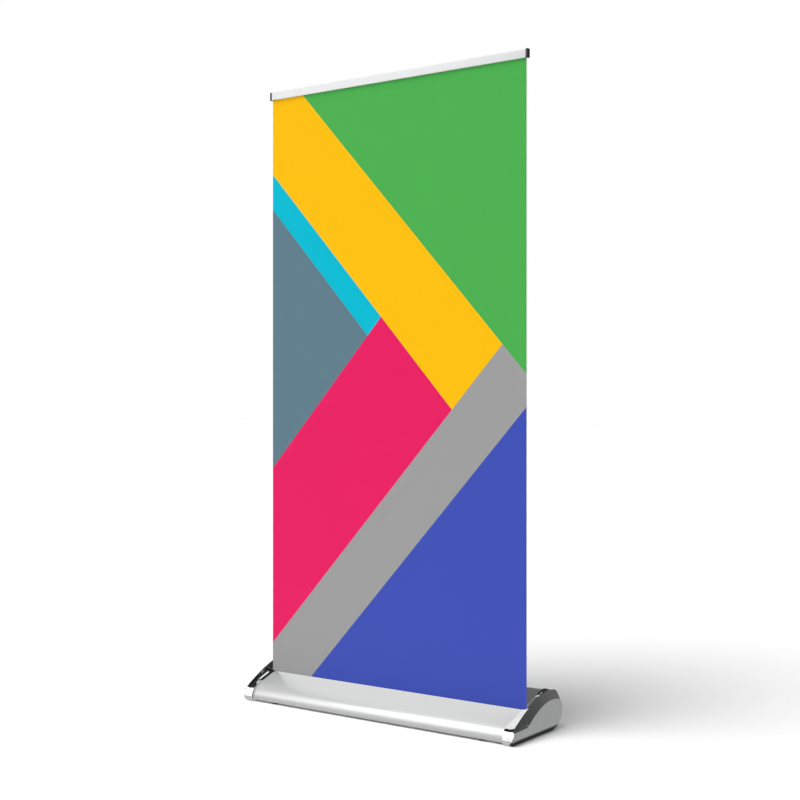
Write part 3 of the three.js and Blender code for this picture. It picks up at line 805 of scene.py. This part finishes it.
# ---- Top rail ----
# The rail is two anodised bars: a rear channel, and a front jaw that swings on a steel rod.
# Shut, the jaw's lower lip and its rubber strip pinch the head of the sheet.

RAIL_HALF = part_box("rail_rear_bar")[1][0] / MM
rear_low, rear_high = (Vector(corner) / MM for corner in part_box("rail_rear_bar"))
PLATE = 2.2
rear_bar_section = [
    (rear_low.y, rear_low.z),
    (rear_high.y, rear_low.z),
    (rear_high.y, rear_low.z + 3.2),
    (rear_high.y - 1, rear_low.z + 3.2),
    (rear_high.y - 1, rear_low.z + 2),
    (rear_low.y + PLATE, rear_low.z + 2),
    (rear_low.y + PLATE, rear_high.z - 2),
    (rear_high.y - 1, rear_high.z - 2),
    (rear_high.y - 1, rear_high.z - 3.2),
    (rear_high.y, rear_high.z - 3.2),
    (rear_high.y, rear_high.z),
    (rear_low.y, rear_high.z),
]
rail_silver = anodised(
    "silver anodised rail", (0.57, 0.575, 0.58), (0.64, 0.645, 0.65), 0.40, 0.3, ALONG_X
)
rear_bar = bar("rail_channel", [rear_bar_section], RAIL_HALF, rail_silver)
round_edges(rear_bar, 0.3)
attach(rear_bar, "rail")
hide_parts("rail_rear_bar")

jaw_low, jaw_high = (Vector(corner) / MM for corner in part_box("rail_front_jaw"))
HINGE_Y = -29.2
HINGE_Z = 2052
KNUCKLE = 2.6
ROD_HOLE = 1.45
JAW_LIP = -28.6
plate_back = jaw_low.y + PLATE


def knuckle_arc(radius, start, end, steps=20):
    angles = [start + (end - start) * step / steps for step in range(steps + 1)]
    return [(HINGE_Y + radius * cos(angle), HINGE_Z + radius * sin(angle)) for angle in angles]


knuckle_section = knuckle_arc(KNUCKLE, radians(-235), radians(120)) + knuckle_arc(
    ROD_HOLE, radians(120), radians(-235)
)
jaw_plate_section = [
    (jaw_low.y, jaw_low.z + 0.8),
    (jaw_low.y + 0.8, jaw_low.z),
    (JAW_LIP, jaw_low.z),
    (JAW_LIP, jaw_low.z + 3),
    (plate_back, jaw_low.z + 3),
    (plate_back, jaw_high.z - 1.6),
    (HINGE_Y, jaw_high.z - 1.6),
    (HINGE_Y, jaw_high.z),
    (jaw_low.y + 0.8, jaw_high.z),
    (jaw_low.y, jaw_high.z - 0.8),
]
front_jaw = bar("rail_face", [jaw_plate_section], RAIL_HALF, rail_silver)
round_edges(front_jaw, 0.35, 3, 20)
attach(front_jaw, "rail_jaw")
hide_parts("rail_front_jaw")
knuckle = bar("rail_knuckle", [knuckle_section], RAIL_HALF, rail_silver)
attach(knuckle, "rail_jaw")

rubber = moulded(
    "black rubber", (0.010, 0.010, 0.011), (0.026, 0.026, 0.027), 0.75, grain_scale=1500
)
grip_low, grip_high = (Vector(corner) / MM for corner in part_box("rail_grip_strip"))
tooth_root = grip_high.y - 0.4
grip_teeth = [(grip_low.y, grip_low.z), (tooth_root, grip_low.z)]
for tooth in range(3):
    foot = grip_low.z + 0.1 + tooth * 0.7
    grip_teeth += [(tooth_root, foot), (grip_high.y, foot + 0.3), (tooth_root, foot + 0.6)]
grip_teeth += [(tooth_root, grip_high.z), (grip_low.y, grip_high.z)]
grip = bar("rail_rubber", [grip_teeth], RAIL_HALF, rubber)
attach(grip, "rail_jaw")
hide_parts("rail_grip_strip")
dress(zinc, "rail_hinge_rod")

# ---- Rail end caps ----
# A black plastic cap closes each end of the rail and carries the hinge rod.
# Its outline is a little larger than the bars and has rounded corners.

CAP_CORNER = 3.2


def rounded_outline(low, high, radius, steps=8):
    corners = [
        (high[0] - radius, high[1] - radius, 0),
        (low[0] + radius, high[1] - radius, pi / 2),
        (low[0] + radius, low[1] + radius, pi),
        (high[0] - radius, low[1] + radius, 3 * pi / 2),
    ]
    outline = []
    for y, z, start in corners:
        for step in range(steps + 1):
            angle = start + pi / 2 * step / steps
            outline.append((y + radius * cos(angle), z + radius * sin(angle)))
    return outline


def rail_cap(side_name):
    low, high = (Vector(corner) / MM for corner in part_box(f"rail_end_cap_{side_name}"))
    outline = rounded_outline((low.y, low.z), (high.y, high.z), CAP_CORNER)
    cap = make_piece(
        f"rail_cap_{side_name}", *sections_along_x([outline], low.x, high.x), black_plastic, sharp=40
    )
    round_edges(cap, 0.9, 3, 40)
    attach(cap, "rail")
    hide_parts(f"rail_end_cap_{side_name}")


rail_cap("left")
rail_cap("right")

# ---- Rail hanger ----
# A black nylon bracket sits in the rail's rear channel, held by two screws.
# Its cup drops over the tip of the pole, and two webs stiffen the arm.

hanger_low = Vector(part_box("rail_hanger")[0]) / MM
PLATE_HALF = 22
PLATE_DEPTH = 2.7
PLATE_TOP = 2053.7
PLATE_BOTTOM = 2033.8
CUP_RADIUS = 13.5
CUP_BORE = 10
CUP_TOP = 2048
CUP_CEILING = plug_high + 0.3
ARM_HALF = 8
WEB_THICKNESS = 2.4


def block(name, low, high, finish):
    (x0, y0, z0), (x1, y1, z1) = low, high
    return make_piece(name, *sections_along_x([[(y0, z0), (y1, z0), (y1, z1), (y0, z1)]], x0, x1), finish)


def weld(piece, other):
    combine(piece, other, "UNION")


plate_rear = hanger_low.y + PLATE_DEPTH
hanger = block(
    "rail_bracket",
    (-PLATE_HALF, hanger_low.y, PLATE_BOTTOM),
    (PLATE_HALF, plate_rear, PLATE_TOP),
    black_plastic,
)
arm_corners = ((-ARM_HALF, plate_rear - 1, 2039), (ARM_HALF, POLE_Y - 5, 2045))
weld(hanger, block("arm", *arm_corners, black_plastic))
web_front, web_rear = plate_rear - 0.5, POLE_Y - 11
web_section = [(web_front, 2035), (web_rear, 2032), (web_rear, CUP_TOP - 1), (web_front, 2051)]
for web_x in (-ARM_HALF, ARM_HALF - WEB_THICKNESS):
    web = sections_along_x([web_section], web_x, web_x + WEB_THICKNESS)
    weld(hanger, make_piece("web", *web, black_plastic))
cup = turned(
    "cup",
    [
        (0, CUP_CEILING),
        (CUP_BORE, CUP_CEILING),
        (CUP_BORE, hanger_low.z + 1),
        (CUP_BORE + 1, hanger_low.z),
        (CUP_RADIUS, hanger_low.z),
        (CUP_RADIUS, CUP_TOP - 2),
        (CUP_RADIUS - 2, CUP_TOP),
        (0, CUP_TOP),
    ],
    black_plastic,
    (0, POLE_Y),
    steps=72,
)
weld(hanger, cup)
for number in (1, 2):
    screw_low, screw_high = (Vector(corner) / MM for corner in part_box(f"hanger_screw_{number}"))
    drill = turned("drill", [(0, -8), (1.8, -8), (1.8, 8), (0, 8)], black_plastic, steps=32)
    drill_centre = (screw_low + screw_high) / 2
    drill_centre.y = hanger_low.y
    drill.data.transform(Matrix.Translation(drill_centre * MM) @ Matrix.Rotation(pi / 2, 4, "X"))
    cut_away(hanger, drill)
round_edges(hanger, 0.4)
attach(hanger, "rail")
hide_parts("rail_hanger")

# ---- Printed sheet ----
# The sheet is polyester film, printed on the front with flat blocks of colour.
# Its foot winds on the roller inside the base, and its head is pinched in the rail.

sheet_low, sheet_high = (Vector(corner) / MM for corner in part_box("printed_sheet"))
PRINT_SLOPE = 1.09
# heights, at the middle of the sheet, of the lines that fall to the right and rise to the right
FALL_UPPER = 1631
FALL_MIDDLE = 1232
FALL_LOWER = 1113
RISE_UPPER = 1320
RISE_MIDDLE = 724
RISE_LOWER = 443
INK_STRENGTH = 0.9


def print_colour(hex_code):
    channels = [int(hex_code[place : place + 2], 16) / 255 for place in (0, 2, 4)]
    linear = [((c + 0.055) / 1.055) ** 2.4 if c > 0.04045 else c / 12.92 for c in channels]
    return tuple(c * INK_STRENGTH for c in linear)


ink_codes = {
    "green": "4CAF50",
    "amber": "FFC107",
    "slate": "607D8B",
    "pink": "E91E63",
    "cyan": "00BCD4",
    "grey": "9E9E9E",
    "indigo": "3F51B5",
}
inks = {name: film(f"print, {name}", print_colour(code)) for name, code in ink_codes.items()}


def split_by(regions, slope, height):
    """Cuts each (x, z) region along the line z = height + slope * x, into above and below."""
    above = []
    below = []
    for region in regions:
        upper = []
        lower = []
        for (x, z), (next_x, next_z) in zip(region, region[1:] + region[:1]):
            here = z - slope * x - height
            there = next_z - slope * next_x - height
            (upper if here >= 0 else lower).append((x, z))
            if (here >= 0) != (there >= 0):
                share = here / (here - there)
                crossing = (x + (next_x - x) * share, z + (next_z - z) * share)
                upper.append(crossing)
                lower.append(crossing)
        if len(upper) > 2:
            above.append(upper)
        if len(lower) > 2:
            below.append(lower)
    return above, below


whole = [
    [
        (sheet_low.x, sheet_low.z),
        (sheet_high.x, sheet_low.z),
        (sheet_high.x, sheet_high.z),
        (sheet_low.x, sheet_high.z),
    ]
]
green_part, rest_part = split_by(whole, -PRINT_SLOPE, FALL_UPPER)
green_part, indigo_right = split_by(green_part, PRINT_SLOPE, RISE_LOWER)
rest_part, indigo_part = split_by(rest_part, PRINT_SLOPE, RISE_LOWER)
rest_part, grey_part = split_by(rest_part, PRINT_SLOPE, RISE_MIDDLE)
amber_part, rest_part = split_by(rest_part, -PRINT_SLOPE, FALL_MIDDLE)
rest_part, pink_part = split_by(rest_part, PRINT_SLOPE, RISE_UPPER)
cyan_part, slate_part = split_by(rest_part, -PRINT_SLOPE, FALL_LOWER)
blocks_of_colour = {
    "green": green_part,
    "amber": amber_part,
    "slate": slate_part,
    "pink": pink_part,
    "cyan": cyan_part,
    "grey": grey_part,
    "indigo": indigo_part + indigo_right,
}
sheet_vertices = []
sheet_faces = []
face_inks = []
for ink_number, parts in enumerate(blocks_of_colour.values()):
    for part in parts:
        first = len(sheet_vertices)
        sheet_vertices += [(x, sheet_low.y, z) for x, z in part]
        sheet_faces.append([first + step for step in range(len(part))])
        face_inks.append(ink_number)
sheet_mesh = bpy.data.meshes.new("banner_sheet")
sheet_mesh.from_pydata([Vector(vertex) * MM for vertex in sheet_vertices], [], sheet_faces)
for ink in inks.values():
    sheet_mesh.materials.append(ink)
sheet_mesh.materials.append(film_back)
sheet_mesh.polygons.foreach_set("material_index", face_inks)
shaping = bmesh.new()
shaping.from_mesh(sheet_mesh)
bmesh.ops.remove_doubles(shaping, verts=shaping.verts, dist=1e-5)
front_faces = list(shaping.faces)
for face in front_faces:
    face.normal_update()
    if face.normal.y > 0:
        face.normal_flip()
whole_front = list(shaping.verts) + list(shaping.edges) + front_faces
back = bmesh.ops.duplicate(shaping, geom=whole_front)["geom"]
back_faces = [item for item in back if isinstance(item, bmesh.types.BMFace)]
back_vertices = [item for item in back if isinstance(item, bmesh.types.BMVert)]
bmesh.ops.translate(shaping, verts=back_vertices, vec=(0, (sheet_high.y - sheet_low.y) * MM, 0))
for face in back_faces:
    face.normal_flip()
    face.material_index = len(inks)
rim_edges = [edge for edge in shaping.edges if edge.is_boundary]
for face in bmesh.ops.bridge_loops(shaping, edges=rim_edges)["faces"]:
    face.material_index = len(inks)
shaping.to_mesh(sheet_mesh)
shaping.free()
banner_sheet = bpy.data.objects.new("banner_sheet", sheet_mesh)
bpy.context.scene.collection.objects.link(banner_sheet)
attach(banner_sheet, "base")
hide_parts("printed_sheet")
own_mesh(banner_sheet)

# ---- Levelling feet ----
# Four zinc plated studs screw up through the floor, each on a black rubber pad.
# The pads carry the whole stand, and their edges are rounded.

for corner in ("front_left", "front_right", "rear_left", "rear_right"):
    pad_low, pad_high = (Vector(edge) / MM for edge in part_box(f"foot_pad_{corner}"))
    stud_low, stud_high = (Vector(edge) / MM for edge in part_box(f"foot_stud_{corner}"))
    middle = (pad_low + pad_high) / 2
    pad_radius = (pad_high.x - pad_low.x) / 2
    stud_radius = (stud_high.x - stud_low.x) / 2
    pad_profile = [
        (0, 0.5),
        (pad_radius * 0.45, 0.5),
        (pad_radius * 0.5, 0),
        (pad_radius - 1.2, 0),
        (pad_radius - 0.3, 0.4),
        (pad_radius, 1.3),
        (pad_radius, pad_high.z - 1.2),
        (pad_radius - 0.4, pad_high.z - 0.3),
        (pad_radius - 1.4, pad_high.z),
        (stud_radius + 0.4, pad_high.z),
        (stud_radius + 0.3, 2),
        (0, 2),
    ]
    pad = turned(f"pad_{corner}", pad_profile, rubber, (middle.x, middle.y), sharp=45)
    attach(pad, f"foot_{corner}")
    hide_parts(f"foot_pad_{corner}")
    root = stud_radius * 0.85
    thread = [(0, stud_low.z), (root, stud_low.z)]
    ridge = stud_low.z + 2.4
    while ridge < stud_high.z - 1.2:
        thread += [(root, ridge), (stud_radius, ridge + 0.45), (root, ridge + 0.9)]
        ridge += 1.0
    thread += [(stud_radius * 0.7, stud_high.z), (0, stud_high.z)]
    stud = turned(f"stud_{corner}", thread, zinc, (middle.x, middle.y), steps=40, sharp=40)
    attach(stud, f"foot_{corner}")
    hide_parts(f"foot_stud_{corner}")

# ---- Studio ----
# A white floor under an even white sky, and a broad soft key light from high in front.
# Polished parts see a studio of their own: a bounce card, dark flags, and a sky that is light
# to the left and dark above and to the right.

WHITE_LEVEL = 0.43
BOUNCE_LEVEL = 1.08
BOUNCE_GAP = 0.1
EDGE_FLAG_WIDTH = 22
FLOOR_HALF = 40


def stage_card(name, corners, paint):
    card_mesh = bpy.data.meshes.new(name)
    card_mesh.from_pydata(corners, [], [(0, 1, 2, 3)])
    card = bpy.data.objects.new(name, card_mesh)
    bpy.context.scene.collection.objects.link(card)
    card_mesh.materials.append(paint)
    return card


def laid_card(from_x, to_x, front, rear, height):
    return [(from_x, front, height), (to_x, front, height), (to_x, rear, height), (from_x, rear, height)]


stage_card(
    "studio_floor",
    laid_card(-FLOOR_HALF, FLOOR_HALF, -FLOOR_HALF, FLOOR_HALF, 0),
    new_finish("white studio floor", (0.93, 0.93, 0.93), 0.9),
)

# a white card that glows, seen from its front only, gives the base and floor white light and a painted
# white reflection in place of the sheet's colours
bounce_paint = bpy.data.materials.new("bounce card")
bounce_paint.use_nodes = True
card_nodes = bounce_paint.node_tree.nodes
card_nodes.remove(card_nodes["Principled BSDF"])
glow = card_nodes.new("ShaderNodeEmission")
clear = card_nodes.new("ShaderNodeBsdfTransparent")
which_side = card_nodes.new("ShaderNodeNewGeometry")
two_sided = card_nodes.new("ShaderNodeMixShader")
card_links = bounce_paint.node_tree.links
card_links.new(which_side.outputs["Backfacing"], two_sided.inputs["Fac"])
glow.inputs["Strength"].default_value = BOUNCE_LEVEL
card_links.new(glow.outputs["Emission"], two_sided.inputs[1])
card_links.new(clear.outputs["BSDF"], two_sided.inputs[2])
card_links.new(two_sided.outputs["Shader"], card_nodes["Material Output"].inputs["Surface"])
card_y = (sheet_low.y - BOUNCE_GAP) * MM
card_bottom = (on_slope(SHEET_Y)[1] - 8) * MM
card_top = jaw_low.z * MM
card_left = (sheet_low.x + EDGE_FLAG_WIDTH) * MM


def upright_card(from_x, from_y, to_x, to_y, foot, top):
    return [(from_x, from_y, foot), (to_x, to_y, foot), (to_x, to_y, top), (from_x, from_y, top)]


bounce_card = stage_card(
    "bounce_card",
    upright_card(card_left, card_y, sheet_high.x * MM, card_y, card_bottom, card_top),
    bounce_paint,
)
bounce_card.visible_camera = False
bounce_card.visible_shadow = False
bounce_card.visible_transmission = False


def flag_finish(name, from_x, to_x, from_level, to_level):
    """A glowing flag whose level fades along X between two places."""
    paint = bounce_paint.copy()
    paint.name = name
    nodes = paint.node_tree.nodes
    links = paint.node_tree.links
    nodes["Emission"].inputs["Strength"].default_value = 1
    place = nodes.new("ShaderNodeSeparateXYZ")
    fade = nodes.new("ShaderNodeMapRange")
    fade.interpolation_type = "SMOOTHSTEP"
    set_inputs(fade, {"From Min": from_x, "From Max": to_x, "To Min": from_level, "To Max": to_level})
    links.new(nodes["Geometry"].outputs["Position"], place.inputs["Vector"])
    links.new(place.outputs["X"], fade.inputs["Value"])
    links.new(fade.outputs["Result"], nodes["Emission"].inputs["Color"])
    return paint


# flags that only polished parts see, which paint reflections: a black strip beside the sheet's left edge,
# a dark screen behind and to the right, a painted reflection of shadow on the floor that is black at the
# right cap's foot and grey further out, and a light grey painted shade on the floor in front
SHADE_HEIGHT = 0.0005
cap_foot = (CAP_OUTER - 18) * MM
shade_black = (CAP_OUTER + 4) * MM
shade_grey = (CAP_OUTER + 37) * MM
shade_edge = (CAP_OUTER + 700) * MM
flags = (
    (
        "edge_flag",
        upright_card(sheet_low.x * MM, card_y, card_left, card_y, card_bottom, card_top),
        flag_finish("edge", -1, 1, 0.02, 0.02),
    ),
    (
        "dark_screen",
        upright_card(0.45, 0.8, 1.75, -0.5, 0.002, 1.5),
        flag_finish("screen", 0.75, 0.95, 0.15, 0.07),
    ),
    (
        "shade_right",
        laid_card(cap_foot, shade_edge, -0.4, 0.8, SHADE_HEIGHT),
        flag_finish("shade right", shade_black, shade_grey, 0.05, 0.42),
    ),
    (
        "shade_front",
        laid_card(-shade_edge, cap_foot, -0.8, -0.12, SHADE_HEIGHT),
        flag_finish("shade front", -1, 1, 0.68, 0.68),
    ),
)
for flag_name, flag_corners, flag_paint in flags:
    flag = stage_card(flag_name, flag_corners, flag_paint)
    flag.visible_camera = False
    flag.visible_diffuse = False
    flag.visible_shadow = False
    flag.visible_transmission = False

world = bpy.data.worlds.new("studio")
bpy.context.scene.world = world
world.use_nodes = True
sky = world.node_tree


def sky_node(kind, **settings):
    node = sky.nodes.new(kind)
    for setting, value in settings.items():
        setattr(node, setting, value)
    return node


def sky_step(source, start, end, low=0.0, high=1.0):
    step = sky_node("ShaderNodeMapRange")
    set_inputs(step, {"From Min": start, "From Max": end, "To Min": low, "To Max": high})
    sky.links.new(source, step.inputs["Value"])
    return step.outputs["Result"]


def sky_maths(operation, first, second):
    maths = sky_node("ShaderNodeMath", operation=operation)
    sky.links.new(first, maths.inputs[0])
    sky.links.new(second, maths.inputs[1])
    return maths.outputs["Value"]


def sky_mix(choice, first, second):
    mix = sky_node("ShaderNodeMixShader")
    sky.links.new(choice, mix.inputs["Fac"])
    sky.links.new(first, mix.inputs[1])
    sky.links.new(second, mix.inputs[2])
    return mix.outputs["Shader"]


# the sky that polished parts see, by the direction in which they look
direction = sky_node("ShaderNodeTexCoord")
axes = sky_node("ShaderNodeSeparateXYZ")
sky.links.new(direction.outputs["Generated"], axes.inputs["Vector"])
height = axes.outputs["Z"]
tilt = sky_maths("MULTIPLY", axes.outputs["Y"], sky_step(height, -1, 1, 0.12, 0.12))
left_room = sky_step(sky_maths("ADD", height, tilt), 0.725, 0.75, 1.0, 0.02)
left_room = sky_maths("MULTIPLY", left_room, sky_step(axes.outputs["Y"], 0.5, 0.6, 1.0, 0.06))
left_room = sky_maths("MULTIPLY", left_room, sky_step(axes.outputs["Y"], -0.1, -0.35, 1.0, 2.6))
right_room = sky_step(height, 0.1, 0.8, 0.13, 0.05)
to_left = sky_step(axes.outputs["X"], 0.1, -0.25)
to_right = sky_step(axes.outputs["X"], 0.1, -0.25, 1.0, 0.0)
polished_view = sky_maths(
    "ADD",
    sky_maths("MULTIPLY", left_room, to_left),
    sky_maths("MULTIPLY", right_room, to_right),
)
rays = sky_node("ShaderNodeLightPath")
even_light = sky.nodes["Background"]
set_inputs(even_light, {"Strength": WHITE_LEVEL, "Color": (1, 1, 1, 1)})
backdrop = sky_node("ShaderNodeBackground")
backdrop.inputs["Color"].default_value = (1, 1, 1, 1)
reflected = sky_node("ShaderNodeBackground")
sky.links.new(polished_view, reflected.inputs["Strength"])
even, polished, plain = (node.outputs["Background"] for node in (even_light, reflected, backdrop))
seen = sky_mix(rays.outputs["Is Glossy Ray"], even, polished)
seen = sky_mix(rays.outputs["Is Camera Ray"], seen, plain)
sky.links.new(seen, sky.nodes["World Output"].inputs["Surface"])

CAMERA_AZIMUTH = radians(35.68)
camera_data = bpy.data.cameras.new("camera")
camera_data.lens = 60.34
camera_data.sensor_width = 36
camera_data.shift_y = -0.0045
camera_data.clip_end = 200
camera = bpy.data.objects.new("camera", camera_data)
camera.location = (2.5273, -3.4979, 1.0194)
camera.rotation_euler = (pi / 2, 0, CAMERA_AZIMUTH)
bpy.context.scene.collection.objects.link(camera)
bpy.context.scene.camera = camera

key_data = bpy.data.lights.new("key", "SUN")
key_data.energy = 2.58
key_data.angle = radians(40)
key = bpy.data.objects.new("key", key_data)
key_from = Vector((-0.42, -0.92, 1.75))
key.rotation_euler = key_from.to_track_quat("Z", "Y").to_euler()
bpy.context.scene.collection.objects.link(key)

bpy.context.scene.view_settings.view_transform = "Standard"
bpy.context.scene.view_settings.look = "None"
